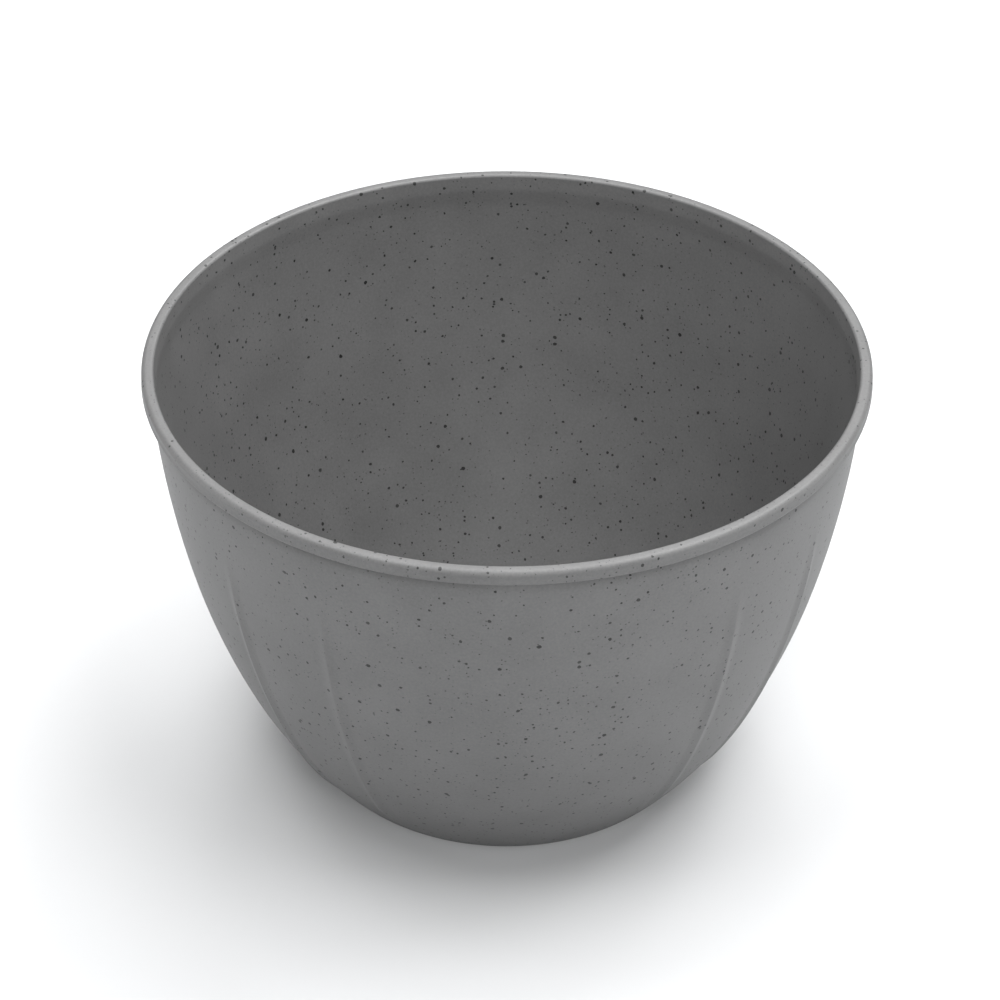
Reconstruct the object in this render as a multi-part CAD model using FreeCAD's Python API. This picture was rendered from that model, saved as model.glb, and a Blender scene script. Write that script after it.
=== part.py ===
"""Round speckled bowl, moulded in one piece: a deep body on a low foot ring, a soft shoulder, a
neck, a rounded lip, and four pairs of raised ridges that run down the outside.

Millimetres, +Z up. The origin is the centre of the circle that the foot ring stands on.
-Y is the middle of one of the four plain panels between the pairs of ridges.
"""
import FreeCAD, Part
import math
import os

# ---- driving dimensions ----
RIM_RADIUS = 105.0          # outside of the lip
HEIGHT = 136.0              # from the standing surface to the top of the lip
WALL = 1.5                  # body wall, measured square to the surface

# lip: a band that stands out past the neck, rounded on top, with a slightly hollow outer face
LIP_TOP_OUTER_ROUND = 1.5
LIP_TOP_INNER_ROUND = 0.9
LIP_LOWER_ROUND = 0.6
LIP_FACE_TILTS = (6.0, -12.0)   # of the hollow face, at its top and bottom, degrees from straight down
LIP_UNDERSIDE_TILT = 80.0   # so the underside is almost level
LIP_INSIDE_RADIUS = 101.25  # inside of the lip, which closes in to the bore
LIP_INSIDE_DEPTH = 5.0      # from the top of the lip to where the bore starts

# neck and shoulder, outside
SHOULDER_RADIUS = 102.24    # widest place of the body
SHOULDER_ROUND = 6.2
SHOULDER_TILT = -24.5       # the shoulder leans outward going down, where it leaves the neck
NECK_ROUND = 1.45
BORE_RADIUS = SHOULDER_RADIUS - WALL   # of the straight wall below the lip

# body, outside: arcs tangent to each other, going down; tilt is the angle from straight down
BODY_TOP_HEIGHT = 126.79
BODY_TOP_TILT = 1.0
BODY_ARCS = ((29.3, 4.5), (315.0, 14.0), (227.0, 24.0))   # (radius, tilt at the lower end)
LOWER_BODY_RADIUS = 144.0
BASE_EDGE_ROUND = 3.0

# inside floor and underside
FLOOR_TOP = 3.0
FLOOR_CORNER_ROUND = 18.0
FOOT_RING_WIDTH = 4.0
RECESS_DEPTH = 1.2

# ridges: pairs of them, turned about the axis
RIDGE_PAIRS = 4
PAIR_HALF_ANGLE = 10.0      # each ridge stands this far from the middle of its pair, degrees
RIDGE_TOP = 114.0           # heights above the standing surface
RIDGE_BOTTOM = 5.0
RIDGE_FADE_IN = 26.0        # length over which a ridge rises at its upper end
RIDGE_FADE_OUT = 14.0
RIDGE_HEIGHT = 0.75
RIDGE_HALF_WIDTH = 3.1
RIDGE_HOLLOW = 0.075        # how far each flank sags below a straight line to the crest
RIDGE_ROOT_DEPTH = 0.8      # how far the ridge's solid reaches into the wall
RIDGE_TOE_DEPTH = 0.27      # how far below the surface its flanks start, and its ends sink
RIDGE_SECTIONS = 14


def point(radius, height):
    """A point of the half section, which lies in the XZ plane."""
    return FreeCAD.Vector(radius, 0, height)


class Arc:
    """A round stretch of the half section, walked downward between two tilts.

    A positive radius bulges outward and a negative one is hollow."""

    def __init__(self, start, radius, tilt_from, tilt_to):
        self.radius = radius
        self.tilts = (tilt_from, tilt_to)
        first = math.radians(tilt_from)
        self.centre = (start[0] - radius * math.cos(first), start[1] + radius * math.sin(first))
        self.start = start
        self.end = self.at(tilt_to)

    def at(self, tilt):
        angle = math.radians(tilt)
        return (self.centre[0] + self.radius * math.cos(angle),
                self.centre[1] - self.radius * math.sin(angle))

    def inset(self, depth):
        """The same stretch, moved inward by depth, square to the surface."""
        first = math.radians(self.tilts[0])
        start = (self.start[0] - depth * math.cos(first), self.start[1] + depth * math.sin(first))
        return Arc(start, self.radius - depth, *self.tilts)

    def edge(self):
        middle = self.at(sum(self.tilts) / 2)
        return Part.Arc(point(*self.start), point(*middle), point(*self.end)).toShape()


def line(start, end):
    return Part.LineSegment(point(*start), point(*end)).toShape()


def end_tilt(height, radius, tilt_from, last_round, last_height):
    """Tilt at which an arc hands over to a last round that ends level at last_height."""
    rise = height - last_height + radius * math.sin(math.radians(tilt_from)) - last_round
    return math.degrees(math.asin(rise / (radius - last_round)))


def body_outside():
    """Arcs of the outside from the shoulder's lower end to the standing surface."""
    lean = math.radians(BODY_TOP_TILT)
    start = (SHOULDER_RADIUS - SHOULDER_ROUND * (1 - math.cos(lean)), BODY_TOP_HEIGHT)
    arcs = []
    tilt = BODY_TOP_TILT
    for radius, lower_tilt in BODY_ARCS:
        arcs.append(Arc(start, radius, tilt, lower_tilt))
        start = arcs[-1].end
        tilt = lower_tilt
    last_tilt = end_tilt(start[1], LOWER_BODY_RADIUS, tilt, BASE_EDGE_ROUND, 0)
    arcs.append(Arc(start, LOWER_BODY_RADIUS, tilt, last_tilt))
    arcs.append(Arc(arcs[-1].end, BASE_EDGE_ROUND, last_tilt, 90))
    return arcs


def shoulder_and_neck():
    """The two arcs between the lip's underside and the body, top first."""
    low = (SHOULDER_RADIUS - SHOULDER_ROUND, BODY_TOP_HEIGHT
           + SHOULDER_ROUND * math.sin(math.radians(BODY_TOP_TILT)))
    lean = math.radians(SHOULDER_TILT)
    shoulder_start = (low[0] + SHOULDER_ROUND * math.cos(lean), low[1] - SHOULDER_ROUND * math.sin(lean))
    shoulder = Arc(shoulder_start, SHOULDER_ROUND, SHOULDER_TILT, BODY_TOP_TILT)
    under = math.radians(LIP_UNDERSIDE_TILT)
    neck_start = (shoulder_start[0] - NECK_ROUND * (math.cos(under) - math.cos(lean)),
                  shoulder_start[1] + NECK_ROUND * (math.sin(under) - math.sin(lean)))
    neck = Arc(neck_start, -NECK_ROUND, LIP_UNDERSIDE_TILT, SHOULDER_TILT)
    return neck, shoulder


def lip_outside(neck_top):
    """The lip's arcs from its top, over the hollow outer face, to its underside."""
    under = math.radians(LIP_UNDERSIDE_TILT)
    face_top, face_bottom = (math.radians(tilt) for tilt in LIP_FACE_TILTS)
    low_centre_radius = RIM_RADIUS - LIP_LOWER_ROUND
    low_end_radius = low_centre_radius + LIP_LOWER_ROUND * math.cos(under)
    low_end_height = neck_top[1] + (low_end_radius - neck_top[0]) / math.tan(under)
    low_centre_height = low_end_height + LIP_LOWER_ROUND * math.sin(under)
    face_end = (low_centre_radius + LIP_LOWER_ROUND * math.cos(face_bottom),
                low_centre_height - LIP_LOWER_ROUND * math.sin(face_bottom))
    face_start_height = HEIGHT - LIP_TOP_OUTER_ROUND * (1 + math.sin(face_top))
    hollow = (face_start_height - face_end[1]) / (math.sin(face_top) - math.sin(face_bottom))
    face_start_radius = face_end[0] - hollow * (math.cos(face_top) - math.cos(face_bottom))
    top = (face_start_radius - LIP_TOP_OUTER_ROUND * math.cos(face_top), HEIGHT)
    upper_round = Arc(top, LIP_TOP_OUTER_ROUND, -90, LIP_FACE_TILTS[0])
    face = Arc(upper_round.end, -hollow, *LIP_FACE_TILTS)
    lower_round = Arc(face.end, LIP_LOWER_ROUND, LIP_FACE_TILTS[1], LIP_UNDERSIDE_TILT)
    return [upper_round, face, lower_round]


def lip_edges(neck_top, bore_bottom):
    """Edges from the bore, over the top of the lip and down its outside, to the top of the neck."""
    bore_top = (BORE_RADIUS, HEIGHT - LIP_INSIDE_DEPTH)
    inner_round = Arc((LIP_INSIDE_RADIUS, HEIGHT - LIP_TOP_INNER_ROUND), -LIP_TOP_INNER_ROUND, 0, 90)
    outside = lip_outside(neck_top)
    return [
        line(bore_bottom, bore_top),
        line(bore_top, inner_round.start),
        inner_round.edge(),
        line(inner_round.end, outside[0].start),
        *[arc.edge() for arc in outside],
        line(outside[-1].end, neck_top),
    ]


def body_inside(outside):
    """Arcs of the inside, parallel to the outside, from the straight bore to the level floor."""
    shoulder = shoulder_and_neck()[1]
    widest = Arc(shoulder.at(0), SHOULDER_ROUND, 0, BODY_TOP_TILT)
    upper = [arc.inset(WALL) for arc in [widest] + outside[:len(BODY_ARCS)]]
    start = upper[-1].end
    tilt = upper[-1].tilts[1]
    radius = LOWER_BODY_RADIUS - WALL
    last_tilt = end_tilt(start[1], radius, tilt, FLOOR_CORNER_ROUND, FLOOR_TOP)
    lower = Arc(start, radius, tilt, last_tilt)
    corner = Arc(lower.end, FLOOR_CORNER_ROUND, last_tilt, 90)
    return upper + [lower, corner]


def underside_edges(foot_outer):
    """The foot ring and the shallow recess inside it, out to in."""
    step = RECESS_DEPTH / 2
    ring_inner = (foot_outer[0] - FOOT_RING_WIDTH, 0)
    middle = (ring_inner[0] - step, step)
    recess = (middle[0] - step, RECESS_DEPTH)
    slant = step * math.sin(math.radians(45))
    outer_bend = (ring_inner[0] - slant, step - slant)
    inner_bend = (recess[0] + slant, step + slant)
    return [
        line(foot_outer, ring_inner),
        Part.Arc(point(*ring_inner), point(*outer_bend), point(*middle)).toShape(),
        Part.Arc(point(*middle), point(*inner_bend), point(*recess)).toShape(),
        line(recess, (0, RECESS_DEPTH)),
    ]


def shell(outside):
    """The bowl without its ridges, turned about the axis."""
    inside = body_inside(outside)
    neck, shoulder = shoulder_and_neck()
    edges = lip_edges(neck.start, inside[0].start)
    edges += [neck.edge(), shoulder.edge()]
    edges += [arc.edge() for arc in outside]
    edges += underside_edges(outside[-1].end)
    edges.append(line((0, RECESS_DEPTH), (0, FLOOR_TOP)))
    edges.append(line((0, FLOOR_TOP), inside[-1].end))
    edges += [arc.edge() for arc in reversed(inside)]
    section = Part.Wire(Part.__sortEdges__(edges))
    return Part.Face(section).revolve(FreeCAD.Vector(), FreeCAD.Vector(0, 0, 1), 360)


def surface_at(outside, height):
    """Radius and tilt of the body's outside at a height."""
    for arc in outside:
        if arc.end[1] <= height <= arc.start[1]:
            sine = (arc.centre[1] - height) / arc.radius
            tilt = math.asin(sine)
            return arc.centre[0] + arc.radius * math.cos(tilt), tilt
    raise ValueError("no body at this height")


def smooth(share):
    """Rises softly from 0 to 1."""
    share = min(max(share, 0), 1)
    return share * share * (3 - 2 * share)


def ridge_rise(height):
    """How far the crest stands off the body: sunk at both ends, full in between."""
    shown = smooth((RIDGE_TOP - height) / RIDGE_FADE_IN) * smooth((height - RIDGE_BOTTOM) / RIDGE_FADE_OUT)
    return (RIDGE_HEIGHT + RIDGE_TOE_DEPTH) * shown - RIDGE_TOE_DEPTH


def ridge_section(outside, height):
    """The ridge's cross-section, square to the body: hollow flanks that meet at the crest."""
    radius, tilt = surface_at(outside, height)
    foot = FreeCAD.Vector(radius, 0, height)
    normal = FreeCAD.Vector(math.cos(tilt), 0, -math.sin(tilt))
    side = FreeCAD.Vector(0, 1, 0)
    rise = ridge_rise(height)
    crest = foot + normal * rise
    left = foot - side * RIDGE_HALF_WIDTH - normal * RIDGE_TOE_DEPTH
    right = foot + side * RIDGE_HALF_WIDTH - normal * RIDGE_TOE_DEPTH
    hollow = normal * RIDGE_HOLLOW
    left_middle = (left + crest) / 2 - hollow
    right_middle = (right + crest) / 2 - hollow
    left_root = foot - side * RIDGE_HALF_WIDTH - normal * RIDGE_ROOT_DEPTH
    right_root = foot + side * RIDGE_HALF_WIDTH - normal * RIDGE_ROOT_DEPTH
    return Part.Wire([
        Part.Arc(left, left_middle, crest).toShape(),
        Part.Arc(crest, right_middle, right).toShape(),
        Part.LineSegment(right, right_root).toShape(),
        Part.LineSegment(right_root, left_root).toShape(),
        Part.LineSegment(left_root, left).toShape(),
    ])


def ridge(outside):
    """One ridge, on the +X side."""
    span = RIDGE_TOP - RIDGE_BOTTOM
    heights = [RIDGE_BOTTOM + span * step / (RIDGE_SECTIONS - 1) for step in range(RIDGE_SECTIONS)]
    return Part.makeLoft([ridge_section(outside, height) for height in heights], True, False)


def ridges(outside):
    """All the ridges, turned into their places about the axis."""
    one = ridge(outside)
    placed = []
    pair_step = 360 / RIDGE_PAIRS
    for pair in range(RIDGE_PAIRS):
        for side in (-1, 1):
            azimuth = -90 + pair_step * (pair + 0.5) + side * PAIR_HALF_ANGLE
            copy = one.copy()
            copy.rotate(FreeCAD.Vector(), FreeCAD.Vector(0, 0, 1), azimuth)
            placed.append(copy)
    return placed


def bowl():
    outside = body_outside()
    return shell(outside).fuse(ridges(outside))


def main():
    os.makedirs("parts", exist_ok=True)
    shape = bowl()
    solid = shape.Solids[0]
    print("solids", len(shape.Solids), "valid", solid.isValid(), "volume", round(solid.Volume))
    print("box", solid.BoundBox)
    solid.exportStep("parts/bowl.step")


main()
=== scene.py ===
"""Round speckled bowl, one moulded piece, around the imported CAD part.

Metres, +Z up. The origin is the centre of the circle that the foot ring stands on, and -Y is the
middle of a plain panel between two pairs of ridges. The bowl's visible mesh is turned from the same
half section as the CAD solid, with finer rounds, and its ridges rise out of the wall without a seam.
"""

import math

import bmesh
import bpy
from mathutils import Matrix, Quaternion, Vector


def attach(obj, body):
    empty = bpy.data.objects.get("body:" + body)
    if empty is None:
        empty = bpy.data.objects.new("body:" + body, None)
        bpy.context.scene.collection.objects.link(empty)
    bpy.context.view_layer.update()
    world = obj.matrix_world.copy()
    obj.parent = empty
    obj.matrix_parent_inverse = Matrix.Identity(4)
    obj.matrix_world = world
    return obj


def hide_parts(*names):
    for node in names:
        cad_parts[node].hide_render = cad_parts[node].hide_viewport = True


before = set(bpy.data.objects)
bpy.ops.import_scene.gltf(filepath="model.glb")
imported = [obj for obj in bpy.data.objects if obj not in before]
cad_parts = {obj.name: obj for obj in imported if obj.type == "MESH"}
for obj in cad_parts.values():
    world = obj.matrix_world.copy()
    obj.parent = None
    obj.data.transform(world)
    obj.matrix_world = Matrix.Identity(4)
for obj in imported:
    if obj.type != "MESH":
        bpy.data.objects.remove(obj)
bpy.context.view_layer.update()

MM = 0.001

# ---- the half section; radii and heights in metres ----
RIM_RADIUS = 105.0 * MM
HEIGHT = 136.0 * MM
WALL = 1.5 * MM
LIP_TOP_OUTER_ROUND = 1.5 * MM
LIP_TOP_INNER_ROUND = 0.9 * MM
LIP_LOWER_ROUND = 0.6 * MM
LIP_FACE_TILTS = (6.0, -12.0)
LIP_UNDERSIDE_TILT = 80.0
LIP_INSIDE_RADIUS = 101.25 * MM
LIP_INSIDE_DEPTH = 5.0 * MM
SHOULDER_RADIUS = 102.24 * MM
SHOULDER_ROUND = 6.2 * MM
SHOULDER_TILT = -24.5
NECK_ROUND = 1.45 * MM
BORE_RADIUS = SHOULDER_RADIUS - WALL
BODY_TOP_HEIGHT = 126.79 * MM
BODY_TOP_TILT = 1.0
BODY_ARCS = ((29.3 * MM, 4.5), (315.0 * MM, 14.0), (227.0 * MM, 24.0))
LOWER_BODY_RADIUS = 144.0 * MM
BASE_EDGE_ROUND = 3.0 * MM
FLOOR_TOP = 3.0 * MM
FLOOR_CORNER_ROUND = 18.0 * MM
FOOT_RING_WIDTH = 4.0 * MM
RECESS_DEPTH = 1.2 * MM

# ---- ridges ----
RIDGE_PAIRS = 4
PAIR_HALF_ANGLE = 10.0
RIDGE_TOP = 114.0 * MM
RIDGE_BOTTOM = 5.0 * MM
RIDGE_FADE_IN = 26.0 * MM
RIDGE_FADE_OUT = 14.0 * MM
RIDGE_HEIGHT = 0.75 * MM
RIDGE_HALF_WIDTH = 3.4 * MM
CREST_ROUND = 0.35 * MM
FLANK_POWER = 1.6               # above 1 the ridge's flanks are hollow

# ---- mesh: longest edges along the half section, and turns in degrees ----
INSIDE_EDGE = 2.0 * MM
CORNER_EDGE = 1.4 * MM
BODY_EDGE = 1.4 * MM
FLAT_EDGE = 5.0 * MM
BORE_EDGE = 1.2 * MM
LEAD_IN_EDGE = 0.8 * MM
LIP_TOP_EDGE = 0.7 * MM
LIP_ROUND_EDGE = 0.3 * MM
LIP_FACE_EDGE = 0.4 * MM
UNDERSIDE_EDGE = 0.9 * MM
SHOULDER_EDGE = 0.5 * MM
BASE_ROUND_EDGE = 0.5 * MM
RING_EDGE = 1.0 * MM
ARC_TURN = 9.0
TIGHT_ARC_TURN = 16.0
RECESS_TURNS = (22.5, 45, 67.5, 90)
MIDDLE_FAN_RADIUS = 4 * MM      # the flats stop here and a fan of triangles closes them
RIDGE_COLUMNS = 10              # mesh columns on each side of a crest
RIDGE_COLUMN_SPAN = 3.6         # degrees they reach to each side
RIDGE_COLUMN_POWER = 1.4        # above 1 they crowd towards the crest
PANEL_COLUMN_STEP = 1.7         # degrees between the other columns


class Arc:
    """A round stretch of the half section, walked downward between two tilts from straight down.

    A positive radius bulges outward and a negative one is hollow."""

    def __init__(self, start, radius, tilt_from, tilt_to):
        self.radius = radius
        self.tilts = (tilt_from, tilt_to)
        first = math.radians(tilt_from)
        self.centre = (start[0] - radius * math.cos(first), start[1] + radius * math.sin(first))
        self.start = start
        self.end = self.at(tilt_to)

    def at(self, tilt):
        angle = math.radians(tilt)
        return (self.centre[0] + self.radius * math.cos(angle),
                self.centre[1] - self.radius * math.sin(angle))

    def inset(self, depth):
        first = math.radians(self.tilts[0])
        start = (self.start[0] - depth * math.cos(first), self.start[1] + depth * math.sin(first))
        return Arc(start, self.radius - depth, *self.tilts)

    def points(self, longest, turn=ARC_TURN):
        """Points along the arc without its first, no further apart than longest or a turn in degrees."""
        span = self.tilts[1] - self.tilts[0]
        length = abs(self.radius * math.radians(span))
        steps = max(2, math.ceil(length / longest), math.ceil(abs(span) / turn))
        return [self.at(self.tilts[0] + span * step / steps) for step in range(1, steps + 1)]


def straight(start, end, longest):
    """Points from start to end without the first."""
    steps = max(1, math.ceil(math.dist(start, end) / longest))
    return [(start[0] + (end[0] - start[0]) * step / steps,
             start[1] + (end[1] - start[1]) * step / steps) for step in range(1, steps + 1)]


def end_tilt(height, radius, tilt_from, last_round, last_height):
    """Tilt at which an arc hands over to a last round that lies level at last_height."""
    rise = height - last_height + radius * math.sin(math.radians(tilt_from)) - last_round
    return math.degrees(math.asin(rise / (radius - last_round)))


def body_outside():
    """The outside's arcs from under the shoulder to the face that the foot stands on."""
    lean = math.radians(BODY_TOP_TILT)
    start = (SHOULDER_RADIUS - SHOULDER_ROUND * (1 - math.cos(lean)), BODY_TOP_HEIGHT)
    arcs = []
    tilt = BODY_TOP_TILT
    for radius, lower_tilt in BODY_ARCS:
        arcs.append(Arc(start, radius, tilt, lower_tilt))
        start = arcs[-1].end
        tilt = lower_tilt
    last_tilt = end_tilt(start[1], LOWER_BODY_RADIUS, tilt, BASE_EDGE_ROUND, 0)
    arcs.append(Arc(start, LOWER_BODY_RADIUS, tilt, last_tilt))
    arcs.append(Arc(arcs[-1].end, BASE_EDGE_ROUND, last_tilt, 90))
    return arcs


def shoulder_and_neck():
    """The hollow neck under the lip and the round shoulder below it."""
    low = (SHOULDER_RADIUS - SHOULDER_ROUND, BODY_TOP_HEIGHT
           + SHOULDER_ROUND * math.sin(math.radians(BODY_TOP_TILT)))
    lean = math.radians(SHOULDER_TILT)
    shoulder_start = (low[0] + SHOULDER_ROUND * math.cos(lean),
                      low[1] - SHOULDER_ROUND * math.sin(lean))
    shoulder = Arc(shoulder_start, SHOULDER_ROUND, SHOULDER_TILT, BODY_TOP_TILT)
    under = math.radians(LIP_UNDERSIDE_TILT)
    neck_start = (shoulder_start[0] - NECK_ROUND * (math.cos(under) - math.cos(lean)),
                  shoulder_start[1] + NECK_ROUND * (math.sin(under) - math.sin(lean)))
    neck = Arc(neck_start, -NECK_ROUND, LIP_UNDERSIDE_TILT, SHOULDER_TILT)
    return neck, shoulder


def lip_outside(neck_top):
    """The lip's arcs from its top, over the hollow outer face, to its underside."""
    under = math.radians(LIP_UNDERSIDE_TILT)
    face_top, face_bottom = (math.radians(tilt) for tilt in LIP_FACE_TILTS)
    low_centre_radius = RIM_RADIUS - LIP_LOWER_ROUND
    low_end_radius = low_centre_radius + LIP_LOWER_ROUND * math.cos(under)
    low_end_height = neck_top[1] + (low_end_radius - neck_top[0]) / math.tan(under)
    low_centre_height = low_end_height + LIP_LOWER_ROUND * math.sin(under)
    face_end = (low_centre_radius + LIP_LOWER_ROUND * math.cos(face_bottom),
                low_centre_height - LIP_LOWER_ROUND * math.sin(face_bottom))
    face_start_height = HEIGHT - LIP_TOP_OUTER_ROUND * (1 + math.sin(face_top))
    hollow = (face_start_height - face_end[1]) / (math.sin(face_top) - math.sin(face_bottom))
    face_start_radius = face_end[0] - hollow * (math.cos(face_top) - math.cos(face_bottom))
    top = (face_start_radius - LIP_TOP_OUTER_ROUND * math.cos(face_top), HEIGHT)
    upper_round = Arc(top, LIP_TOP_OUTER_ROUND, -90, LIP_FACE_TILTS[0])
    face = Arc(upper_round.end, -hollow, *LIP_FACE_TILTS)
    lower_round = Arc(face.end, LIP_LOWER_ROUND, LIP_FACE_TILTS[1], LIP_UNDERSIDE_TILT)
    return [upper_round, face, lower_round]


def body_inside(outside):
    """The inside's arcs from the widest part of the bore to the level floor."""
    shoulder = shoulder_and_neck()[1]
    widest = Arc(shoulder.at(0), SHOULDER_ROUND, 0, BODY_TOP_TILT)
    upper = [arc.inset(WALL) for arc in [widest] + outside[:len(BODY_ARCS)]]
    start = upper[-1].end
    tilt = upper[-1].tilts[1]
    radius = LOWER_BODY_RADIUS - WALL
    last_tilt = end_tilt(start[1], radius, tilt, FLOOR_CORNER_ROUND, FLOOR_TOP)
    lower = Arc(start, radius, tilt, last_tilt)
    corner = Arc(lower.end, FLOOR_CORNER_ROUND, last_tilt, 90)
    return upper + [lower, corner]


def recess_edge(radius):
    """Two quarter turns, one bulging and one hollow, from the foot ring up into the recess."""
    step = RECESS_DEPTH / 2
    turns = [math.radians(turn) for turn in RECESS_TURNS]
    bulging = [(radius - step * math.sin(a), step * (1 - math.cos(a))) for a in turns]
    hollow = [(radius - 2 * step + step * math.cos(a), step + step * math.sin(a)) for a in turns]
    return bulging + hollow


def half_section():
    """Rows of (radius, height, ridged) from the middle of the inside floor, up the inside, over the
    lip, down the outside and in under the foot to the middle of the underside."""
    outside = body_outside()
    inside = body_inside(outside)
    neck, shoulder = shoulder_and_neck()
    bore_top = (BORE_RADIUS, HEIGHT - LIP_INSIDE_DEPTH)
    inner_round = Arc((LIP_INSIDE_RADIUS, HEIGHT - LIP_TOP_INNER_ROUND), -LIP_TOP_INNER_ROUND, 0, 90)
    upper_round, face, lower_round = lip_outside(neck.start)
    foot = outside[-1].end

    down_inside = [inside[0].start]
    for arc in inside[:-1]:
        down_inside += arc.points(INSIDE_EDGE)
    down_inside += inside[-1].points(CORNER_EDGE)
    down_inside += straight(inside[-1].end, (MIDDLE_FAN_RADIUS, FLOOR_TOP), FLAT_EDGE)

    over = straight(inside[0].start, bore_top, BORE_EDGE)
    over += straight(bore_top, inner_round.start, LEAD_IN_EDGE)
    over += inner_round.points(LIP_ROUND_EDGE)
    over += straight(inner_round.end, upper_round.start, LIP_TOP_EDGE)
    over += upper_round.points(LIP_ROUND_EDGE)
    over += face.points(LIP_FACE_EDGE)
    over += lower_round.points(LIP_ROUND_EDGE, TIGHT_ARC_TURN)
    over += straight(lower_round.end, neck.start, UNDERSIDE_EDGE)
    over += neck.points(LIP_ROUND_EDGE, TIGHT_ARC_TURN)
    over += shoulder.points(SHOULDER_EDGE)

    body = []
    for arc in outside[:-1]:
        body += arc.points(BODY_EDGE)

    ring_inner = (foot[0] - FOOT_RING_WIDTH, 0)
    below = outside[-1].points(BASE_ROUND_EDGE)
    below += straight(foot, ring_inner, RING_EDGE)
    below += recess_edge(ring_inner[0])
    below += straight(below[-1], (MIDDLE_FAN_RADIUS, RECESS_DEPTH), FLAT_EDGE)
    rows = [(r, z, False) for r, z in reversed(down_inside)]
    rows += [(r, z, False) for r, z in over]
    rows += [(r, z, True) for r, z in body]
    rows += [(r, z, False) for r, z in below]
    return rows


def smooth(share):
    """0 to 1 with a soft start and a soft end."""
    share = min(max(share, 0), 1)
    return share * share * (3 - 2 * share)


def ridge_strength(height):
    fade_in = smooth((RIDGE_TOP - height) / RIDGE_FADE_IN)
    fade_out = smooth((height - RIDGE_BOTTOM) / RIDGE_FADE_OUT)
    return fade_in * fade_out


def ridge_profile(offset):
    """Rise at a distance to the side of the crest: a rounded crest with hollow flanks."""
    away = abs(offset)
    if away >= RIDGE_HALF_WIDTH:
        return 0.0
    softened = math.sqrt(away * away + CREST_ROUND * CREST_ROUND) - CREST_ROUND
    reach = math.sqrt(RIDGE_HALF_WIDTH ** 2 + CREST_ROUND ** 2) - CREST_ROUND
    share = 1 - softened / reach
    return RIDGE_HEIGHT * share ** FLANK_POWER


def ridge_azimuths():
    step = 360 / RIDGE_PAIRS
    return [math.radians(-90 + step * (pair + 0.5) + side * PAIR_HALF_ANGLE)
            for pair in range(RIDGE_PAIRS) for side in (-1, 1)]


def columns():
    """Azimuths of the mesh's columns: even round the bowl, closer together across each ridge."""
    reach = math.radians(RIDGE_COLUMN_SPAN)
    angles = set()
    for crest in ridge_azimuths():
        for step in range(-RIDGE_COLUMNS, RIDGE_COLUMNS + 1):
            share = step / RIDGE_COLUMNS
            offset = math.copysign(abs(share) ** RIDGE_COLUMN_POWER, share) * reach
            angles.add(round(crest + offset, 6))
    angles = sorted(a % (2 * math.pi) for a in angles)
    filled = []
    for i, a in enumerate(angles):
        following = angles[(i + 1) % len(angles)] + (2 * math.pi if i == len(angles) - 1 else 0)
        gap = following - a
        parts = max(1, round(gap / math.radians(PANEL_COLUMN_STEP)))
        filled += [a + gap * k / parts for k in range(parts)]
    return filled


def tilt_of(rows, index):
    """Tilt of the section's surface at a row, from its neighbours."""
    before, after = rows[max(index - 1, 0)], rows[min(index + 1, len(rows) - 1)]
    return math.atan2(before[0] - after[0], before[1] - after[1])


def ridge_rise(crests, azimuth, radius, strength):
    """How far the surface stands out of the plain wall at an azimuth."""
    if strength <= 0:
        return 0.0
    nearest = min(crests, key=lambda crest: abs(math.remainder(azimuth - crest, 2 * math.pi)))
    return strength * ridge_profile(radius * math.remainder(azimuth - nearest, 2 * math.pi))


def make_bowl():
    rows = half_section()
    azimuths = columns()
    crests = ridge_azimuths()
    build = bmesh.new()
    rings = []
    for index, (radius, height, ridged) in enumerate(rows):
        tilt = tilt_of(rows, index)
        strength = ridge_strength(height) if ridged else 0
        ring = []
        for azimuth in azimuths:
            out = ridge_rise(crests, azimuth, radius, strength)
            r = radius + out * math.cos(tilt)
            z = height - out * math.sin(tilt)
            ring.append(build.verts.new((r * math.cos(azimuth), r * math.sin(azimuth), z)))
        rings.append(ring)
    count = len(azimuths)
    for lower, upper in zip(rings, rings[1:]):
        for k in range(count):
            n = (k + 1) % count
            build.faces.new((lower[k], upper[k], upper[n], lower[n]))
    for ring, height, first in ((rings[0], FLOOR_TOP, True), (rings[-1], RECESS_DEPTH, False)):
        middle = build.verts.new((0, 0, height))
        for k in range(count):
            n = (k + 1) % count
            corners = (middle, ring[k], ring[n]) if first else (middle, ring[n], ring[k])
            build.faces.new(corners)
    bmesh.ops.recalc_face_normals(build, faces=build.faces)
    mesh = bpy.data.meshes.new("speckled_bowl")
    build.to_mesh(mesh)
    build.free()
    mesh.shade_smooth()
    piece = bpy.data.objects.new("speckled_bowl", mesh)
    bpy.context.scene.collection.objects.link(piece)
    return piece


def grey(value):
    return (value, value, value)


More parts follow.
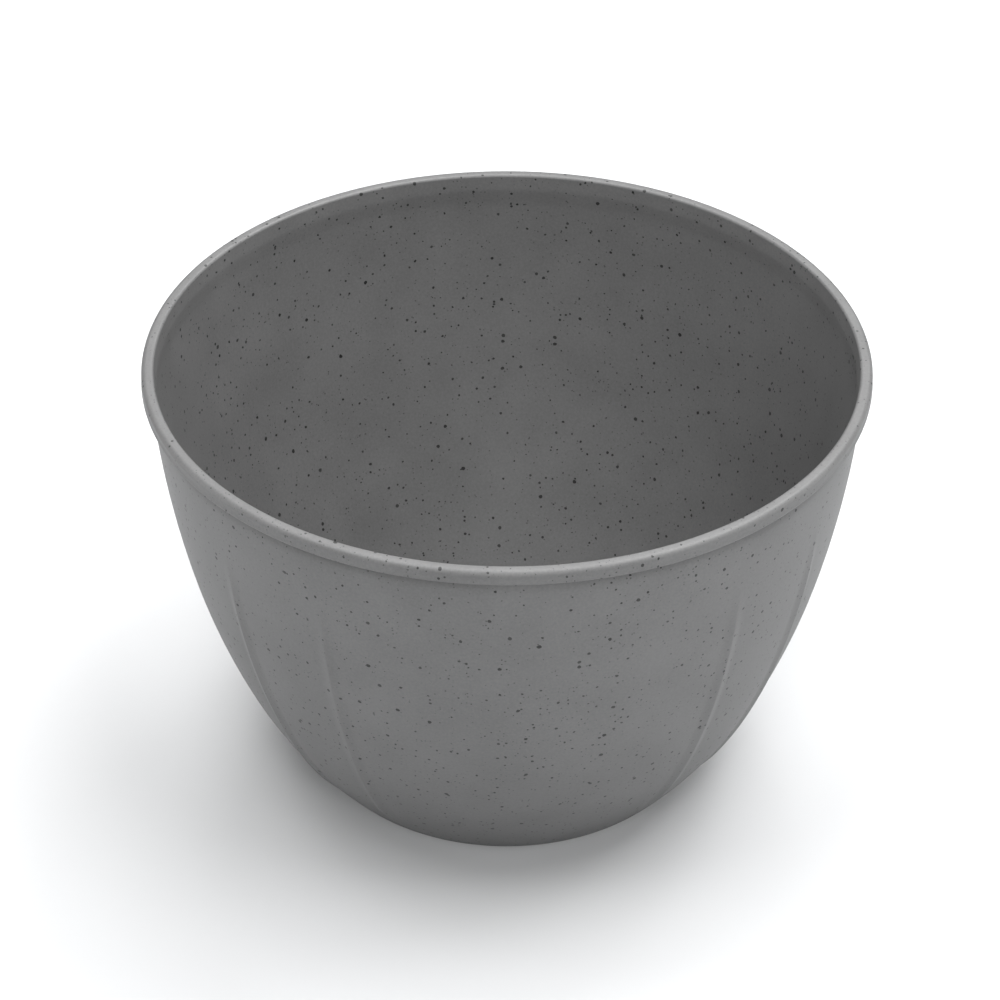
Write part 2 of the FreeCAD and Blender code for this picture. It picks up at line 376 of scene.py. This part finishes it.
class Nodes:
    """Short calls for building a material's node tree."""

    def __init__(self, material):
        material.use_nodes = True
        self.tree = material.node_tree
        self.tree.nodes.clear()

    def add(self, kind, inputs=None, **settings):
        node = self.tree.nodes.new("ShaderNode" + kind)
        for name, value in settings.items():
            setattr(node, name, value)
        for name, value in (inputs or {}).items():
            if isinstance(value, bpy.types.NodeSocket):
                self.tree.links.new(value, node.inputs[name])
            else:
                node.inputs[name].default_value = value
        return node

    def math(self, operation, a, b=0.0, clamp=False):
        node = self.add("Math", operation=operation, use_clamp=clamp)
        for socket, value in zip(node.inputs, (a, b)):
            if isinstance(value, bpy.types.NodeSocket):
                self.tree.links.new(value, socket)
            else:
                socket.default_value = value
        return node.outputs[0]

    def multiply_add(self, value, times, plus):
        node = self.add("Math", {0: value, 1: times, 2: plus}, operation="MULTIPLY_ADD")
        return node.outputs[0]

    def finish(self, shader):
        out = self.add("OutputMaterial")
        self.tree.links.new(shader.outputs[0], out.inputs["Surface"])

    def ramp(self, factor, *stops):
        """A blend between two stops, each a position and a colour."""
        node = self.add("ValToRGB", {"Fac": factor})
        for element, (position, colour) in zip(node.color_ramp.elements, stops):
            element.position = position
            element.color = (*colour, 1)
        return node.outputs["Color"]


# ---- speckles: cell size, largest dot radius, share of the cells that hold a dot, darkness ----
SPECKLE_LAYERS = (
    (2.7 * MM, 0.66 * MM, 0.25, 1.00),
    (1.9 * MM, 0.48 * MM, 0.34, 1.00),
    (1.25 * MM, 0.31 * MM, 0.50, 0.60),
)
SPECKLE_EDGE = 0.06 * MM
SPECKLE_SHIFTS = (0.31, 0.23)   # the first layer's shift in metres, and the step to the next
SMALLEST_SPECKLE = 0.4          # share of the largest dot's radius
PALEST_SPECKLE = 0.8            # share of the layer's darkness
WOBBLE_SCALE = 900.0
WOBBLE = 0.5 * MM

# ---- plastic ----
BASE_GREY = (0.108, 0.142)
SPECKLE_GREY = 0.004
CLOUD_SCALE = 55.0
GRAIN_SCALE = 1400.0
CLOUD_SHARE = 0.45
GRAIN_SHARE = 0.55
TONE_LIMITS = (0.3, 0.7)
ROUGHNESS = 0.45
ROUGHNESS_VARIATION = 0.12
GRAIN_BUMP_STRENGTH = 0.12
GRAIN_BUMP = 0.1 * MM
PLASTIC_IOR = 1.48


def speckle_layer(nodes, place, layer, shift):
    """Dots scattered in space: one cell in so many holds a dot, and the surface cuts through it.

    Dots differ in size and in darkness from cell to cell."""
    cell, radius, share, darkness = layer
    offset = (shift, shift * 1.7, shift * 2.3)
    moved = nodes.add("VectorMath", {0: place, 1: offset}, operation="ADD").outputs[0]
    voronoi = nodes.add("TexVoronoi", {"Vector": moved, "Scale": 1 / cell, "Randomness": 1.0})
    pick = nodes.add("SeparateColor", {"Color": voronoi.outputs["Color"]})
    present = nodes.math("LESS_THAN", pick.outputs["Red"], share)
    size = nodes.multiply_add(pick.outputs["Green"], 1 - SMALLEST_SPECKLE, SMALLEST_SPECKLE)
    reach = nodes.math("MULTIPLY", size, radius / cell)
    inside = nodes.math("SUBTRACT", reach, voronoi.outputs["Distance"])
    soft = nodes.math("MULTIPLY", inside, cell / SPECKLE_EDGE, clamp=True)
    palest = PALEST_SPECKLE * darkness
    depth = nodes.multiply_add(pick.outputs["Blue"], darkness - palest, palest)
    return nodes.math("MULTIPLY", nodes.math("MULTIPLY", soft, present), depth)


def speckles(nodes, place):
    """How dark the speckles make each spot, from 0 to 1, with outlines bent by a fine noise."""
    wobble = nodes.add("TexNoise", {"Vector": place, "Scale": WOBBLE_SCALE, "Detail": 1.0})
    centred = nodes.add("VectorMath", {0: wobble.outputs["Color"], 1: grey(0.5)}, operation="SUBTRACT")
    bend = nodes.add("VectorMath", {0: centred.outputs[0], "Scale": WOBBLE}, operation="SCALE")
    bent = nodes.add("VectorMath", {0: place, 1: bend.outputs[0]}, operation="ADD").outputs[0]
    first_shift, shift_step = SPECKLE_SHIFTS
    dark = 0.0
    for number, layer in enumerate(SPECKLE_LAYERS):
        dots = speckle_layer(nodes, bent, layer, first_shift + shift_step * number)
        dark = nodes.math("MAXIMUM", dots, dark)
    return dark


def speckled_plastic():
    material = bpy.data.materials.new("speckled_plastic")
    nodes = Nodes(material)
    place = nodes.add("TexCoord").outputs["Object"]
    dark = speckles(nodes, place)
    cloud = nodes.add("TexNoise", {"Vector": place, "Scale": CLOUD_SCALE, "Detail": 3.0}).outputs["Fac"]
    grain = nodes.add("TexNoise", {"Vector": place, "Scale": GRAIN_SCALE, "Detail": 2.0}).outputs["Fac"]
    cloud_part = nodes.math("MULTIPLY", cloud, CLOUD_SHARE)
    tone = nodes.math("ADD", cloud_part, nodes.math("MULTIPLY", grain, GRAIN_SHARE))
    base = nodes.ramp(tone, *zip(TONE_LIMITS, (grey(value) for value in BASE_GREY)))
    speckle_colour = (*grey(SPECKLE_GREY), 1)
    colour = nodes.add("Mix", {"Factor": dark, "A": base, "B": speckle_colour}, data_type="RGBA")
    bump = nodes.add("Bump", {
        "Strength": GRAIN_BUMP_STRENGTH,
        "Distance": GRAIN_BUMP,
        "Height": grain,
    })
    shader = nodes.add("BsdfPrincipled", {
        "Base Color": next(socket for socket in colour.outputs if socket.type == "RGBA"),
        "Roughness": nodes.multiply_add(tone, ROUGHNESS_VARIATION, ROUGHNESS),
        "Normal": bump.outputs[0],
        "IOR": PLASTIC_IOR,
    })
    nodes.finish(shader)
    return material


# ---- floor: two close pale greys, a touch cool, blended by a slow noise ----
FLOOR_COLOURS = ((0.604, 0.610, 0.617), (0.624, 0.630, 0.637))
FLOOR_CLOUD_SCALE = 3.0
FLOOR_SIZE = 6.0


def pale_floor_material():
    material = bpy.data.materials.new("pale_floor")
    nodes = Nodes(material)
    place = nodes.add("TexCoord").outputs["Object"]
    noise = nodes.add("TexNoise", {"Vector": place, "Scale": FLOOR_CLOUD_SCALE, "Detail": 2.0})
    tone = nodes.ramp(noise.outputs["Fac"], (0.2, FLOOR_COLOURS[0]), (0.8, FLOOR_COLOURS[1]))
    shader = nodes.add("BsdfPrincipled", {
        "Base Color": tone,
        "Roughness": 0.9,
        "Specular IOR Level": 0.1,
    })
    nodes.finish(shader)
    return material


def make_floor():
    half = FLOOR_SIZE / 2
    corners = [(-half, -half, 0), (half, -half, 0), (half, half, 0), (-half, half, 0)]
    mesh = bpy.data.meshes.new("floor")
    mesh.from_pydata(corners, [], [(0, 1, 2, 3)])
    mesh.materials.append(pale_floor_material())
    floor = bpy.data.objects.new("floor", mesh)
    bpy.context.scene.collection.objects.link(floor)


# ---- camera ----
CAMERA_AZIMUTH = -4.75          # degrees about +Z from -Y; a negative one is towards -X
CAMERA_DISTANCE = 0.8891        # level distance from the bowl's axis
CAMERA_HEIGHT = 0.7204
CAMERA_PITCH = 35.56            # degrees below level
CAMERA_YAW = -0.124             # degrees off the bowl's axis, a negative one to the left
CAMERA_ROLL = 0.12
CAMERA_LENS = 133.2
CAMERA_SENSOR = 36


def make_camera():
    """The camera, and the level directions towards it and to its right."""
    data = bpy.data.cameras.new("camera")
    data.lens = CAMERA_LENS
    data.sensor_width = CAMERA_SENSOR
    data.clip_start = 0.05
    data.clip_end = 20
    camera = bpy.data.objects.new("camera", data)
    turn = math.radians(CAMERA_AZIMUTH)
    away = Vector((math.sin(turn), -math.cos(turn), 0))
    right = Vector((math.cos(turn), math.sin(turn), 0))
    camera.location = away * CAMERA_DISTANCE + Vector((0, 0, CAMERA_HEIGHT))
    yaw = math.radians(CAMERA_YAW)
    pitch = math.radians(CAMERA_PITCH)
    level = right * math.sin(yaw) - away * math.cos(yaw)
    look = level * math.cos(pitch) - Vector((0, 0, math.sin(pitch)))
    roll = Quaternion((0, 0, 1), math.radians(CAMERA_ROLL))
    camera.rotation_euler = (look.to_track_quat("-Z", "Y") @ roll).to_euler()
    bpy.context.scene.collection.objects.link(camera)
    bpy.context.scene.camera = camera
    return away, right


# ---- soft boxes: azimuth from the camera's side towards its right, elevation, watts ----
SOFT_BOXES = (
    ("low_right", 90, 8, 7.0),
    ("low_left", -90, 8, 9.3),
    ("front", 0, 24, 8.0),
    ("front_right", 60, 24, 3.3),
    ("front_high", 0, 40, 7.8),
    ("back_right", 108, 56, 10.9),
    ("back_middle", 144, 56, 15.2),
    ("back", 180, 56, 11.9),
    ("top_front_right", 60, 71, 13.7),
    ("top_front_left", -60, 71, 12.0),
    ("top_back_left", -120, 71, 10.6),
)
SOFT_BOX_SIZE = 0.8
SOFT_BOX_DISTANCE = 1.8
SOFT_BOX_AIM = Vector((0, 0, 0.05))


def black_world():
    """Nothing but the soft boxes lights the bowl."""
    world = bpy.data.worlds.new("studio")
    world.use_nodes = True
    world.node_tree.nodes["Background"].inputs["Strength"].default_value = 0.0
    bpy.context.scene.world = world


def light_scene(away, right):
    for name, azimuth, elevation, watts in SOFT_BOXES:
        turn = math.radians(azimuth)
        rise = math.radians(elevation)
        level = away * math.cos(turn) + right * math.sin(turn)
        towards = level * math.cos(rise) + Vector((0, 0, math.sin(rise)))
        data = bpy.data.lights.new(name, "AREA")
        data.shape = "DISK"
        data.size = SOFT_BOX_SIZE
        data.energy = watts
        light = bpy.data.objects.new(name, data)
        light.location = SOFT_BOX_AIM + towards * SOFT_BOX_DISTANCE
        light.rotation_euler = (-towards).to_track_quat("-Z", "Y").to_euler()
        light.visible_camera = False
        bpy.context.scene.collection.objects.link(light)


def main():
    bowl = make_bowl()
    bowl.data.materials.append(speckled_plastic())
    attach(bowl, "root")
    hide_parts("bowl")
    make_floor()
    away, right = make_camera()
    black_world()
    light_scene(away, right)
    bpy.context.scene.view_settings.view_transform = "Standard"


main()
